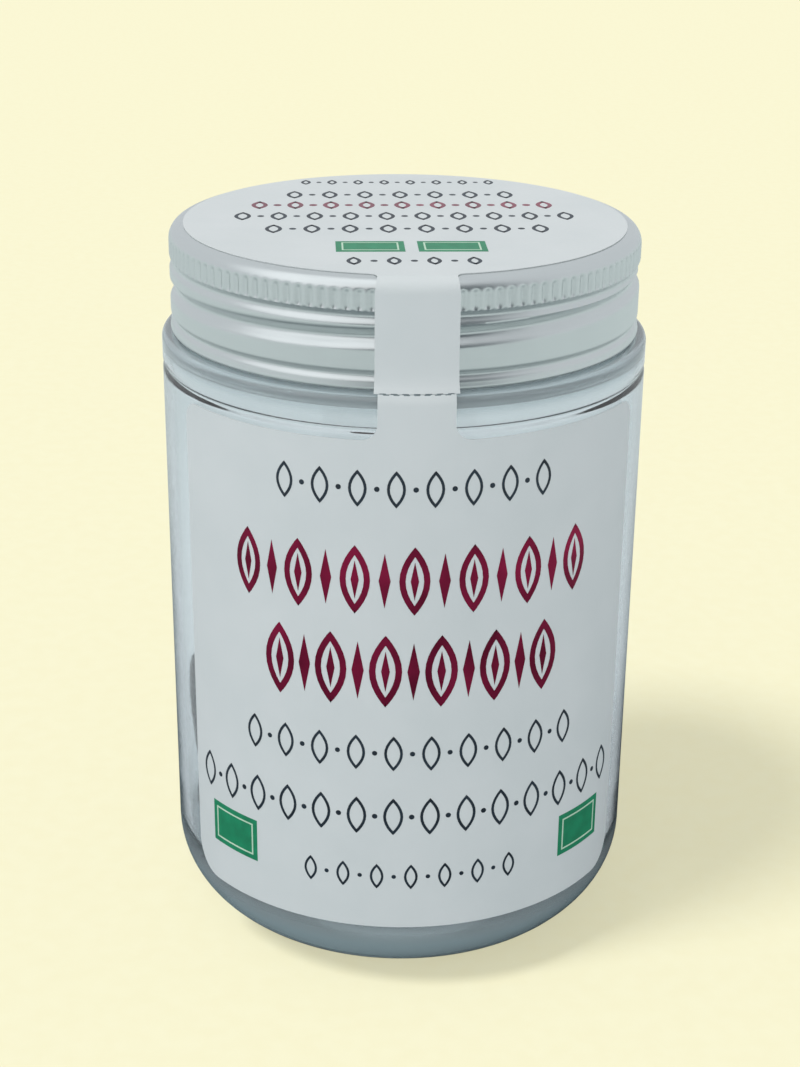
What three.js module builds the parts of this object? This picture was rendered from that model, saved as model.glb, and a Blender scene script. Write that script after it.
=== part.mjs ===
// A clear screw-cap jar of tonka beans with a satin aluminium cap and a paper seal label.
// Millimetres, +Z up. The jar stands on z = 0 and its label faces -Y.
import * as THREE from "three";

// Driving dimensions of the jar
const JAR_RADIUS = 31;
const JAR_WALL = 1.2;
const BASE_FILLET = 11;
const FLOOR = 2;
const FOOT_WIDTH = 3;
const PUSH_UP = 0.9;
const SHOULDER_Z = 81;
const SHOULDER_ROUND = 1.3;
const SHOULDER_THICK = 1.6;
const NECK_RADIUS = 27.9;
const NECK_BORE = 25.9;
const LIP_Z = 92.4;
const JAR_SIDES = 48;

// Driving dimensions of the thread, which the jar and the cap share
const PITCH = 25.4 / 6;
const CAP_THREAD_Z = 87.7;
const NECK_THREAD = { height: 0.7, half: 0.9, from: -440, to: 62 };
const CAP_THREAD = { height: 0.9, half: 1.3, from: -238, to: 162 };
const THREAD_FADE = 25;
const THREAD_SIDES = 60;

// Driving dimensions of the cap and its liner
const CAP_RADIUS = 29.75;
const CAP_TOP = 94.5;
const CAP_EDGE_Z = 81.35;
const CAP_SHEET = 0.5;
const CAP_ROUND = 1.8;
const KNURLS = 96;
const KNURL_DEPTH = 0.3;
const KNURL_BOTTOM = 91.1;
const KNURL_GROOVE = { z: 90.4, depth: 0.4, half: 0.6 };
const BEAD_GROOVE = { z: 83.1, depth: 0.4, half: 0.75 };
const LINER = { radius: 28.2, bottom: 92.7, top: 93.7 };

// Driving dimensions of the paper labels
const PAPER = 0.25;
const PAPER_GAP = 0.15;
const LABEL_HALF_ANGLE = 61.5;
const LABEL_BOTTOM = 10.1;
const LABEL_TOP = 75.8;
const LABEL_CORNERS = { bottom: 4.5, top: 2.5 };
const STRIP_HALF = 4.55;
const STRIP_FILLET = 2;
const PERFORATION_Z = 81.3;
const PERFORATION_GAP = 0.3;
const DISC_RADIUS = 27.9;
const DISC_FILLET = 1.2;

// Driving dimensions of the beans
const BEAN_COUNT = 23;
const BEAN = { length: 31, width: 11.2, thickness: 8.6, bend: 1.3, blunt: 0.72 };
const BEAN_SIDES = 12;
const BEAN_STEPS = 10;
const BEAN_RIDGE = 0.03;
const BEAN_GAP = 0.45;
const SEED = 17;
const PACK_TURN = 312;

const DEGREE = Math.PI / 180;

/** A point at an angle from the front (-Y), turning towards +X. */
function polar(radius, degrees, z) {
  const a = degrees * DEGREE;
  return new THREE.Vector3(radius * Math.sin(a), -radius * Math.cos(a), z);
}

/** A ring of points: the radius may vary with the angle in degrees. */
function ring(sides, z, radiusAt) {
  if (sides === 1) return [new THREE.Vector3(0, 0, z)];
  const points = [];
  for (let i = 0; i < sides; i += 1) {
    const degrees = (360 * i) / sides;
    const radius = typeof radiusAt === "number" ? radiusAt : radiusAt(degrees);
    points.push(polar(radius, degrees, z));
  }
  return points;
}

/** The closed skin through a stack of rings, which may differ in their number of points. */
function skin(rings) {
  const positions = rings.flat().flatMap((p) => [p.x, p.y, p.z]);
  const faces = [];
  let start = 0;
  for (let k = 0; k + 1 < rings.length; k += 1) {
    const [n, m] = [rings[k].length, rings[k + 1].length];
    const next = start + n;
    let [i, j] = [0, 0];
    while (i < n || j < m) {
      const a = start + (i % n);
      const b = next + (j % m);
      const stepFirst = m === 1 || (n > 1 && (i + 1) / n <= (j + 1) / m + 1e-9);
      if (i < n && (stepFirst || j >= m)) {
        if (n > 1) faces.push(a, start + ((i + 1) % n), b);
        i += 1;
      } else {
        if (m > 1) faces.push(b, a, next + ((j + 1) % m));
        j += 1;
      }
    }
    start = next;
  }
  const geometry = new THREE.BufferGeometry();
  geometry.setAttribute("position", new THREE.Float32BufferAttribute(positions, 3));
  geometry.setIndex(faces);
  geometry.computeVertexNormals();
  return geometry;
}

/** Points of a quarter arc in the (radius, z) plane. */
function arc(radius, z, size, fromDegrees, toDegrees, steps) {
  const points = [];
  for (let i = 0; i <= steps; i += 1) {
    const a = THREE.MathUtils.lerp(fromDegrees, toDegrees, i / steps) * DEGREE;
    points.push([radius + size * Math.cos(a), z + size * Math.sin(a)]);
  }
  return points;
}

/** A smooth bump of height 1 that reaches zero at a given distance. */
function bump(distance, half) {
  const t = Math.min(1, Math.abs(distance) / half);
  return Math.cos((t * Math.PI) / 2) ** 2;
}

/** How far a helical ridge stands out at an angle and a height, with its ends faded. */
function helix(thread, centreZ, degrees, z) {
  let most = 0;
  for (let turn = -2; turn <= 2; turn += 1) {
    const along = degrees + 360 * turn;
    const fade = Math.min(along - thread.from, thread.to - along) / THREAD_FADE;
    const height = thread.height * THREE.MathUtils.clamp(fade, 0, 1);
    most = Math.max(most, height * bump(z - centreZ - (PITCH * along) / 360, thread.half));
  }
  return most;
}

function jarGeometry() {
  const fillet = BASE_FILLET;
  const inner = JAR_RADIUS - JAR_WALL;
  const footOut = JAR_RADIUS - fillet;
  const footIn = footOut - FOOT_WIDTH;
  const underside = SHOULDER_Z - SHOULDER_THICK;
  const plain = ([radius, z]) => ring(radius < 1e-6 ? 1 : JAR_SIDES, z, radius);
  const outside = [
    [0, PUSH_UP],
    [footIn - 2 * PUSH_UP, PUSH_UP],
    [footIn, 0],
    ...arc(footOut, fillet, fillet, -90, 0, 6),
    ...arc(JAR_RADIUS - SHOULDER_ROUND, SHOULDER_Z - SHOULDER_ROUND, SHOULDER_ROUND, 0, 90, 3),
    [NECK_RADIUS + 0.5, SHOULDER_Z],
  ];
  const neck = [];
  const neckRows = 10;
  for (let i = 0; i <= neckRows; i += 1) {
    const z = THREE.MathUtils.lerp(SHOULDER_Z + 0.6, LIP_Z - 0.5, i / neckRows);
    const wall = (degrees) => NECK_RADIUS + helix(NECK_THREAD, CAP_THREAD_Z + PITCH / 2, degrees, z);
    neck.push(ring(THREAD_SIDES, z, wall));
  }
  const inside = [
    [NECK_RADIUS - 0.5, LIP_Z],
    [NECK_BORE + 0.5, LIP_Z],
    [NECK_BORE, LIP_Z - 0.5],
    [NECK_BORE, SHOULDER_Z + 0.3],
    [NECK_BORE + 1.2, underside],
    ...arc(inner - SHOULDER_ROUND, underside - SHOULDER_ROUND, SHOULDER_ROUND, 90, 0, 2),
    ...arc(inner - fillet, FLOOR + fillet, fillet, 0, -90, 5),
    [0, FLOOR],
  ];
  return skin([...outside.map(plain), ...neck, ...inside.map(plain)]);
}

/** How far the cap's sheet is pressed in at an angle and a height. */
function capDent(degrees, z) {
  const rings = [KNURL_GROOVE, BEAD_GROOVE].map((g) => g.depth * bump(z - g.z, g.half));
  return Math.max(...rings, helix(CAP_THREAD, CAP_THREAD_Z, degrees, z));
}

function capGeometry() {
  const { z: groove, half } = BEAD_GROOVE;
  const threadRows = 7;
  const thread = [];
  for (let i = 0; i < threadRows; i += 1) {
    thread.push(THREE.MathUtils.lerp(groove + 1.2, KNURL_GROOVE.z - 0.7, i / (threadRows - 1)));
  }
  const inside = [groove, ...thread, KNURL_BOTTOM];
  const bands = [KNURL_GROOVE.z, KNURL_GROOVE.z + 0.3, KNURL_BOTTOM];
  const outside = [groove - half, groove - half / 2, groove, groove + half / 2, groove + half];
  outside.push(...thread.slice(1), ...bands);
  const sheet = (radius) => (z) => ring(THREAD_SIDES, z, (degrees) => radius - capDent(degrees, z));
  const inner = CAP_RADIUS - CAP_SHEET;
  const knurl = (radius, z, depth) =>
    ring(2 * KNURLS, z, (degrees) => radius - (Math.round((degrees * KNURLS) / 180) % 2) * depth);
  const plain = ([radius, z]) => ring(THREAD_SIDES, z, radius);
  const top = CAP_TOP - CAP_ROUND;
  const [halfway, , end] = arc(CAP_RADIUS - CAP_ROUND, top, CAP_ROUND, 40, 90, 2);
  return skin([
    ring(1, CAP_TOP - CAP_SHEET, 0),
    ...arc(inner - CAP_ROUND, CAP_TOP - CAP_SHEET - CAP_ROUND, CAP_ROUND, 90, 0, 3).map(plain),
    ...inside.toReversed().map(sheet(inner)),
    plain([inner, CAP_EDGE_Z + 0.2]),
    plain([inner + 0.2, CAP_EDGE_Z]),
    plain([CAP_RADIUS - 0.2, CAP_EDGE_Z]),
    plain([CAP_RADIUS + 0.1, CAP_EDGE_Z + 0.35]),
    ...outside.map(sheet(CAP_RADIUS)),
    knurl(CAP_RADIUS, KNURL_BOTTOM + 0.3, KNURL_DEPTH),
    knurl(CAP_RADIUS, top + 0.3, KNURL_DEPTH),
    plain(halfway),
    plain(end),
    ring(1, CAP_TOP, 0),
  ]);
}

function linerGeometry() {
  const edge = 0.2;
  const plain = ([radius, z]) => ring(radius === 0 ? 1 : JAR_SIDES, z, radius);
  const profile = [
    [0, LINER.bottom],
    [LINER.radius - edge, LINER.bottom],
    [LINER.radius, LINER.bottom + edge],
    [LINER.radius, LINER.top - edge],
    [LINER.radius - edge, LINER.top],
    [0, LINER.top],
  ];
  return skin(profile.map(plain));
}

/** The part of a flat polygon on one side of a grid line. */
function clip(polygon, axis, limit, sign) {
  const kept = [];
  polygon.forEach((a, i) => {
    const b = polygon[(i + 1) % polygon.length];
    const [da, db] = [sign * (a[axis] - limit), sign * (b[axis] - limit)];
    if (da >= 0) kept.push(a);
    if (da * db < 0) {
      const t = da / (da - db);
      const cut = [a[0] + t * (b[0] - a[0]), a[1] + t * (b[1] - a[1])];
      cut[axis] = limit;
      kept.push(cut);
    }
  });
  return kept;
}

/** A thin closed sheet: a flat outline cut along grid lines, then placed by a formula on both faces. */
function sheetGeometry(outline, columns, rows, place) {
  const keys = new Map();
  const flat = [];
  const indexOf = ([u, v]) => {
    const key = `${Math.round(u * 1e4)},${Math.round(v * 1e4)}`;
    if (!keys.has(key)) {
      keys.set(key, flat.length);
      flat.push([u, v]);
    }
    return keys.get(key);
  };
  const faces = [];
  const edges = new Map();
  for (let i = 0; i + 1 < columns.length; i += 1) {
    for (let j = 0; j + 1 < rows.length; j += 1) {
      let cell = clip(clip(outline, 0, columns[i], 1), 0, columns[i + 1], -1);
      cell = clip(clip(cell, 1, rows[j], 1), 1, rows[j + 1], -1);
      cell = cell.filter((p, k) => indexOf(p) !== indexOf(cell[(k + 1) % cell.length]));
      if (cell.length < 3) continue;
      const corners = cell.map(([u, v]) => new THREE.Vector2(u, v));
      for (const triangle of THREE.ShapeUtils.triangulateShape(corners, [])) {
        const [a, b, c] = triangle.map((k) => indexOf(cell[k]));
        faces.push([a, b, c]);
        for (const [p, q] of [[a, b], [b, c], [c, a]]) {
          if (!edges.delete(`${q},${p}`)) edges.set(`${p},${q}`, [p, q]);
        }
      }
    }
  }
  const count = flat.length;
  const points = [1, 0].flatMap((side) => flat.map(([u, v]) => place(u, v, side)));
  const index = faces.flatMap(([a, b, c]) => [a, b, c, c + count, b + count, a + count]);
  for (const [p, q] of edges.values()) index.push(p, p + count, q, q, p + count, q + count);
  const geometry = new THREE.BufferGeometry().setFromPoints(points);
  geometry.setIndex(index);
  geometry.computeVertexNormals();
  return geometry;
}

/** A closed outline from its right half, which starts and ends beside the middle line. */
function mirrored(rightHalf) {
  const left = rightHalf.filter(([u]) => u > 1e-6).map(([u, v]) => [-u, v]);
  return [...rightHalf, ...left.reverse()];
}

/** A path in the (radius, z) plane, as a function of the length along it, with the paper's own normal. */
function sectionPath(corners) {
  const lengths = [0];
  for (let i = 1; i < corners.length; i += 1) {
    const [[r0, z0], [r1, z1]] = [corners[i - 1], corners[i]];
    lengths.push(lengths[i - 1] + Math.hypot(r1 - r0, z1 - z0));
  }
  const at = (s) => {
    let i = 1;
    while (i < corners.length - 1 && s > lengths[i]) i += 1;
    const t = (s - lengths[i - 1]) / (lengths[i] - lengths[i - 1]);
    const [[r0, z0], [r1, z1]] = [corners[i - 1], corners[i]];
    return [THREE.MathUtils.lerp(r0, r1, t), THREE.MathUtils.lerp(z0, z1, t)];
  };
  return { lengths, at };
}

/** Evenly spaced grid lines with a few more that an outline needs. */
function gridLines(from, to, count, extra) {
  const lines = [...extra];
  for (let i = 0; i <= count; i += 1) lines.push(THREE.MathUtils.lerp(from, to, i / count));
  return lines.sort((a, b) => a - b).filter((v, i, all) => i === 0 || v - all[i - 1] > 0.05);
}

function frontLabelGeometry() {
  const radius = JAR_RADIUS + PAPER_GAP;
  const half = radius * LABEL_HALF_ANGLE * DEGREE;
  const tongueTop = PERFORATION_Z - PERFORATION_GAP / 2;
  const { bottom, top } = LABEL_CORNERS;
  const fillet = STRIP_HALF + STRIP_FILLET;
  const rightHalf = [
    ...arc(half - bottom, LABEL_BOTTOM + bottom, bottom, -90, 0, 5),
    ...arc(half - top, LABEL_TOP - top, top, 0, 90, 4),
    ...arc(fillet, LABEL_TOP + STRIP_FILLET, STRIP_FILLET, -90, -180, 4),
    [STRIP_HALF, tongueTop],
  ];
  const fold = SHOULDER_Z - SHOULDER_ROUND;
  const foldRows = [fold, fold + 0.6, fold + 1.1];
  const columns = gridLines(-half, half, 20, [-fillet, -STRIP_HALF, STRIP_HALF, fillet]);
  const rows = [LABEL_BOTTOM, LABEL_TOP, LABEL_TOP + STRIP_FILLET, ...foldRows, tongueTop];
  const place = (u, v, side) => {
    const lean = Math.max(0, v - fold);
    const r = radius - 0.28 * lean ** 1.5 + side * PAPER;
    return polar(r, u / radius / DEGREE, v);
  };
  return sheetGeometry(mirrored(rightHalf), columns, rows, place);
}

function topLabelGeometry() {
  const flat = CAP_RADIUS - CAP_ROUND;
  const side = CAP_RADIUS + 0.05 + PAPER_GAP;
  const bendSize = CAP_ROUND + PAPER_GAP + 0.05;
  const level = CAP_TOP - CAP_ROUND + bendSize;
  const bend = arc(flat, CAP_TOP - CAP_ROUND, bendSize, 90, 0, 4);
  const stripEnd = [side, PERFORATION_Z + PERFORATION_GAP / 2];
  const section = sectionPath([[0, level], ...bend, stripEnd]);
  const length = section.lengths.at(-1);
  const corner = Math.asin((STRIP_HALF + DISC_FILLET) / DISC_RADIUS) / DEGREE;
  const edge = DISC_RADIUS * Math.cos(corner * DEGREE);
  const rightHalf = [
    [STRIP_HALF, -length],
    ...arc(STRIP_HALF + DISC_FILLET, -edge - DISC_FILLET, DISC_FILLET, 180, 90, 3),
    ...arc(0, 0, DISC_RADIUS, corner - 90, 90, 30).slice(1),
  ];
  const bends = section.lengths.slice(1);
  const rows = [...bends, edge, 0].map((s) => -s).concat(DISC_RADIUS);
  rows.sort((a, b) => a - b);
  const columns = [-DISC_RADIUS, -STRIP_HALF, -STRIP_HALF / 3, STRIP_HALF / 3, STRIP_HALF, DISC_RADIUS];
  const place = (u, v, outer) => {
    const along = Math.max(-v, 0);
    const [r, z] = section.at(along);
    const bent = THREE.MathUtils.clamp((along - flat) / (bends[4] - flat), 0, 1);
    const angle = (bent * Math.PI) / 2;
    const [out, up] = [outer * PAPER * Math.sin(angle), outer * PAPER * Math.cos(angle)];
    const plane = new THREE.Vector3(u, v, z + up);
    const round = polar(r + out, u / flat / DEGREE, z + up);
    return plane.lerp(round, bent);
  };
  return sheetGeometry(mirrored(rightHalf), columns, rows, place);
}

/** A seeded random number from 0 to 1. */
function randomSource(seed) {
  let state = seed;
  return () => {
    state = (state * 1664525 + 1013904223) % 4294967296;
    return state / 4294967296;
  };
}

/** One bean's own sizes, varied a little. */
function beanForm(random) {
  const vary = (share) => 1 + share * (2 * random() - 1);
  return {
    half: (BEAN.length / 2) * vary(0.08),
    width: (BEAN.width / 2) * vary(0.06),
    thick: (BEAN.thickness / 2) * vary(0.06),
    bend: BEAN.bend * vary(0.6),
    phase: random() * 360,
  };
}

/** The bean's thickness at a share of its half length, 1 in the middle and 0 at both ends. */
function beanTaper(share) {
  return Math.sqrt(1 - share * share) ** BEAN.blunt;
}

/** The bean's own skin, along its own X, with its bend towards its own Y. */
function beanGeometry(form) {
  const rings = [];
  for (let i = 0; i <= BEAN_STEPS; i += 1) {
    const share = -Math.cos((Math.PI * i) / BEAN_STEPS);
    const taper = i === 0 || i === BEAN_STEPS ? 0 : beanTaper(share);
    const centre = new THREE.Vector3(share * form.half, form.bend * (0.4 - share * share), 0);
    if (taper === 0) {
      rings.push([centre]);
      continue;
    }
    const points = [];
    for (let k = 0; k < BEAN_SIDES; k += 1) {
      const a = (2 * Math.PI * k) / BEAN_SIDES;
      const ridge = 1 - BEAN_RIDGE * (1 + Math.cos(5 * a + form.phase * DEGREE + share));
      const offset = new THREE.Vector3(0, form.width * Math.cos(a), form.thick * Math.sin(a));
      points.push(offset.multiplyScalar(taper * ridge).add(centre));
    }
    rings.push(points);
  }
  return skin(rings);
}

/** Balls that fill a bean, for settling it: offsets from its middle and radii. */
function beanBalls(form) {
  const balls = [];
  for (let i = -4; i <= 4; i += 1) {
    const share = i * 0.215;
    const taper = beanTaper(share);
    for (const row of [-1, 0, 1]) {
      const y = form.bend * (0.4 - share * share) + row * (form.width - form.thick) * taper;
      const offset = new THREE.Vector3(share * form.half, y, 0);
      balls.push({ offset, radius: form.thick * taper + BEAN_GAP / 2 });
    }
  }
  return balls;
}

/** Moves a ball back inside the jar's hollow. */
function keepInJar(place, radius) {
  const wall = JAR_RADIUS - JAR_WALL - BEAN_GAP / 2;
  const floor = FLOOR + BEAN_GAP / 2;
  const size = BASE_FILLET;
  place.z = Math.max(place.z, floor + radius);
  const out = Math.hypot(place.x, place.y);
  let most = wall - radius;
  if (place.z < floor + size && out > wall - size) {
    const across = out - (wall - size);
    const down = floor + size - place.z;
    const far = Math.hypot(across, down);
    if (far > size - radius) {
      const back = (size - radius) / far;
      place.z = floor + size - down * back;
      most = wall - size + across * back;
    }
  }
  if (out > most) place.multiply(new THREE.Vector3(most / out, most / out, 1));
}

/** Turns and moves a bean so that its balls best match where they were pushed. */
function matchShape(bean) {
  const middle = new THREE.Vector3();
  bean.places.forEach((p) => middle.add(p));
  middle.divideScalar(bean.places.length);
  for (let pass = 0; pass < 3; pass += 1) {
    const turn = new THREE.Vector3();
    let weight = 1e-6;
    bean.balls.forEach((ball, i) => {
      const arm = ball.centred.clone().applyQuaternion(bean.turn);
      const target = bean.places[i].clone().sub(middle);
      turn.add(arm.clone().cross(target));
      weight += Math.abs(arm.dot(target));
    });
    turn.divideScalar(weight);
    const angle = turn.length();
    if (angle < 1e-7) break;
    const step = new THREE.Quaternion().setFromAxisAngle(turn.divideScalar(angle), angle);
    bean.turn.premultiply(step).normalize();
  }
  bean.middle.copy(middle);
  bean.balls.forEach((ball, i) => {
    bean.places[i].copy(ball.centred).applyQuaternion(bean.turn).add(middle);
  });
}

/** Pushes two beans apart where their balls meet. */
function separate(first, second) {
  if (first.middle.distanceTo(second.middle) > first.reach + second.reach) return;
  const gap = new THREE.Vector3();
  first.balls.forEach((ball, i) => {
    if (first.places[i].distanceTo(second.middle) > ball.radius + second.reach) return;
    second.balls.forEach((other, j) => {
      gap.subVectors(first.places[i], second.places[j]);
      const reach = ball.radius + other.radius;
      const far = gap.length();
      if (far >= reach || far === 0) return;
      gap.multiplyScalar((reach - far) / far / 2);
      first.places[i].add(gap);
      second.places[j].sub(gap);
    });
  });
}

/** Drops the beans into the jar one layer after another and lets them come to rest. */
function settledBeans() {
  const random = randomSource(SEED);
  const beans = [];
  for (let i = 0; i < BEAN_COUNT; i += 1) {
    const form = beanForm(random);
    const balls = beanBalls(form);
    const mean = new THREE.Vector3();
    balls.forEach((ball) => mean.add(ball.offset));
    mean.divideScalar(balls.length);
    balls.forEach((ball) => {
      ball.centred = ball.offset.clone().sub(mean);
    });
    const turn = new THREE.Quaternion().setFromEuler(
      new THREE.Euler(random() * 6.28, (random() - 0.5) * 1.6, random() * 6.28, "ZYX"),
    );
    const middle = polar(9 * random(), 360 * random(), 22 + 11 * i);
    const places = balls.map((ball) => ball.centred.clone().applyQuaternion(turn).add(middle));
    const speeds = balls.map(() => new THREE.Vector3());
    beans.push({ form, balls, mean, turn, middle, places, speeds, reach: form.half + BEAN_GAP });
  }
  const fallPerStep = 0.05;
  const keepSpeed = 0.96;
  const steps = 700;
  const quietSteps = 120;
  for (let step = 0; step < steps + quietSteps; step += 1) {
    const quiet = step >= steps;
    const before = beans.map((bean) => bean.places.map((p) => p.clone()));
    if (!quiet) {
      beans.forEach((bean) => {
        bean.places.forEach((p, i) => p.add(bean.speeds[i]).add(new THREE.Vector3(0, 0, -fallPerStep)));
      });
    }
    for (let pass = 0; pass < 3; pass += 1) {
      beans.forEach((bean, i) => beans.slice(i + 1).forEach((other) => separate(bean, other)));
      beans.forEach((bean) => bean.places.forEach((p, i) => keepInJar(p, bean.balls[i].radius)));
      beans.forEach(matchShape);
    }
    beans.forEach((bean, b) => {
      bean.speeds.forEach((v, i) => v.subVectors(bean.places[i], before[b][i]).multiplyScalar(keepSpeed));
    });
  }
  return beans;
}

const COLOURS = {
  jar: { color: "#dfe7ea", roughness: 0.08, metalness: 0, transparent: true, opacity: 0.3 },
  cap: { color: "#b9bcbc", roughness: 0.32, metalness: 1 },
  liner: { color: "#f1f1ee", roughness: 0.8, metalness: 0 },
  paper: { color: "#dfe4e3", roughness: 0.75, metalness: 0 },
  bean: { color: "#241a15", roughness: 0.7, metalness: 0 },
};

function named(name, geometry, finish) {
  const mesh = new THREE.Mesh(geometry, new THREE.MeshStandardMaterial(COLOURS[finish]));
  mesh.name = name;
  return mesh;
}

function beanMeshes() {
  return settledBeans().map((bean, i) => {
    const name = `bean_${String(i + 1).padStart(2, "0")}`;
    const mesh = named(name, beanGeometry(bean.form), "bean");
    const shift = bean.mean.clone().applyQuaternion(bean.turn);
    mesh.quaternion.copy(bean.turn);
    mesh.position.copy(bean.middle).sub(shift);
    return mesh;
  });
}

const contents = new THREE.Group();
contents.rotation.z = PACK_TURN * DEGREE;
contents.add(...beanMeshes());

const body = new THREE.Group();
body.add(named("jar", jarGeometry(), "jar"));
body.add(named("front_label", frontLabelGeometry(), "paper"));
body.add(contents);

const closure = new THREE.Group();
closure.add(named("cap", capGeometry(), "cap"));
closure.add(named("liner", linerGeometry(), "liner"));
closure.add(named("top_label", topLabelGeometry(), "paper"));

const jarOfBeans = new THREE.Group();
jarOfBeans.add(body, closure);
export default jarOfBeans;
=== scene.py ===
"""The looks of a clear screw-cap jar of tonka beans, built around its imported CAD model.

The jar stands on z = 0 and its label faces -Y. Sizes in this file are millimetres until a mesh is finished.
"""

import logging
import math
from abc import ABC, abstractmethod
from collections.abc import Callable, Iterable
from dataclasses import dataclass, field
from enum import Enum

import bmesh
import bpy
from mathutils import Euler, Matrix, Vector, noise


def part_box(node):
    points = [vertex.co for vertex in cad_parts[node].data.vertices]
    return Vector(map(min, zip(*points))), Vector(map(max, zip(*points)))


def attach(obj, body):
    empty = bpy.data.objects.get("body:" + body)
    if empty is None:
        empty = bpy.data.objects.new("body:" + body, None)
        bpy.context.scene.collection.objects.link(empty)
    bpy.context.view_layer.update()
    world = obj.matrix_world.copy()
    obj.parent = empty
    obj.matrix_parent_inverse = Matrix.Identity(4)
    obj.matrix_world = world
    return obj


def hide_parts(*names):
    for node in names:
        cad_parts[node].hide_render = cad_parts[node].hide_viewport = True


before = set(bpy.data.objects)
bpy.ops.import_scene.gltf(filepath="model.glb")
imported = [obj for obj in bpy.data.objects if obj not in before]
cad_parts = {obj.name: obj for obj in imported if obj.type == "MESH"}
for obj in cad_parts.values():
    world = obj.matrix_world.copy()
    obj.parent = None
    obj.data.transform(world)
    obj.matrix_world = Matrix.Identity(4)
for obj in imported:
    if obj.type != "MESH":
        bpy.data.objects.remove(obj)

MM = 0.001
THREAD_PITCH = 25.4 / 6
THREAD_Z = 87.7
LABEL_GAP = 0.02
Point = tuple[float, float]
Place = Callable[[Vector, float], Vector]
Patch = tuple[float, float, float, float]
Socket = bpy.types.NodeSocket
Node = bpy.types.Node
Mesh = bmesh.types.BMesh
Piece = bpy.types.Object
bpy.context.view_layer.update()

logging.basicConfig(level=logging.INFO, format="%(message)s")
log = logging.getLogger("jar")


class Body(Enum):
    """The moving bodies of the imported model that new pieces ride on."""

    JAR = "jar"
    LINER = "liner"
    CAP = "cap"


def linear(colour: str) -> tuple[float, float, float, float]:
    """Turns an sRGB hex colour into linear light.

    Args:
        colour: the colour as #rrggbb.

    Returns:
        Linear red, green and blue, and an alpha of 1.
    """
    parts = [int(colour[i : i + 2], 16) / 255 for i in (1, 3, 5)]
    red, green, blue = (p / 12.92 if p <= 0.04045 else ((p + 0.055) / 1.055) ** 2.4 for p in parts)
    return red, green, blue, 1.0


class Nodes:
    """A node tree that is filled from nothing."""

    def __init__(self, tree: bpy.types.NodeTree) -> None:
        """Empties the tree and adds the coordinates.

        Args:
            tree: the tree of a material or a world.
        """
        self.tree = tree
        tree.nodes.clear()
        self.coordinates = self.add("ShaderNodeTexCoord").outputs
        self.place = self.coordinates["Object"]

    def add(self, kind: str, inputs: dict | None = None, **settings: object) -> Node:
        """Adds a node with its settings, input values and links.

        Args:
            kind: the node's type name.
            inputs: socket names or numbers with a value or the socket that feeds them.
            **settings: attributes of the node itself.

        Returns:
            The new node.
        """
        made = self.tree.nodes.new(kind)
        for name, value in settings.items():
            setattr(made, name, value)
        for name, value in (inputs or {}).items():
            if isinstance(value, Socket):
                self.tree.links.new(value, made.inputs[name])
            else:
                made.inputs[name].default_value = value
        return made

    def ramp(self, source: Socket, stops: dict[float, object]) -> Socket:
        """Maps a value through a colour ramp.

        Args:
            source: the value that drives the ramp.
            stops: a grey level or a hex colour for each position.

        Returns:
            The ramp's colour output.
        """
        made = self.add("ShaderNodeValToRGB", {"Fac": source})
        elements = made.color_ramp.elements
        while len(elements) < len(stops):
            elements.new(0.5)
        for element, (position, value) in zip(elements, sorted(stops.items())):
            element.position = position
            element.color = linear(value) if isinstance(value, str) else (value, value, value, 1)
        return made.outputs["Color"]

    def cloud(self, size_mm: float, detail: float, rough: float = 0.5, place: Socket | None = None) -> Socket:
        """Adds a noise pattern.

        Args:
            size_mm: the size of its features.
            detail: how many finer layers lie over them.
            rough: how strong the finer layers are.
            place: other coordinates than the piece's own.

        Returns:
            The pattern's value.
        """
        inputs = {"Vector": place or self.place, "Scale": 1 / (size_mm * MM)}
        inputs |= {"Detail": detail, "Roughness": rough}
        return self.add("ShaderNodeTexNoise", inputs).outputs["Fac"]

    def cells(self, size_mm: float, feature: str = "F1") -> Socket:
        """Adds a pattern of cells, and gives the distance that Blender names as its feature."""
        inputs = {"Vector": self.place, "Scale": 1 / (size_mm * MM)}
        return self.add("ShaderNodeTexVoronoi", inputs, feature=feature).outputs["Distance"]

    def relief(self, height: Socket, strength: float, depth_mm: float) -> Socket:
        """Turns a pattern into the normal of a fine relief."""
        inputs = {"Strength": strength, "Distance": depth_mm * MM, "Height": height}
        return self.add("ShaderNodeBump", inputs).outputs["Normal"]

    def maths(self, operation: str, first: Socket, second: Socket | float, **settings: object) -> Socket:
        """Combines two values by one of the Math node's operations."""
        return self.add("ShaderNodeMath", {0: first, 1: second}, operation=operation, **settings).outputs[0]

    def blend(self, share: Socket | float, first: object, second: object, way: str = "MIX") -> Socket:
        """Blends two colours by the share that the second one counts for."""
        inputs = {"Factor": share, 6: first, 7: second}
        return self.add("ShaderNodeMix", inputs, data_type="RGBA", blend_type=way).outputs[2]

    def either(self, share: Socket | float, first: Node, second: Node) -> Node:
        """Mixes two shaders by the share that the second one counts for."""
        return self.add("ShaderNodeMixShader", {0: share, 1: first.outputs[0], 2: second.outputs[0]})

    def mirrored(self) -> Socket:
        """Tells light that a glossy surface mirrors (1) from light that shines through something (0)."""
        rays = self.add("ShaderNodeLightPath").outputs
        return self.maths("SUBTRACT", rays["Is Glossy Ray"], rays["Is Transmission Ray"], use_clamp=True)

    def show(self, shader: Node, output: str = "ShaderNodeOutputMaterial") -> None:
        """Links a shader to a new output node."""
        self.add(output, {"Surface": shader.outputs[0]})


def blank(name: str) -> tuple[bpy.types.Material, Nodes]:
    """Starts an empty node material.

    Args:
        name: the material's name.

    Returns:
        The material and its nodes.
    """
    material = bpy.data.materials.new(name)
    material.use_nodes = True
    return material, Nodes(material.node_tree)


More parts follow.
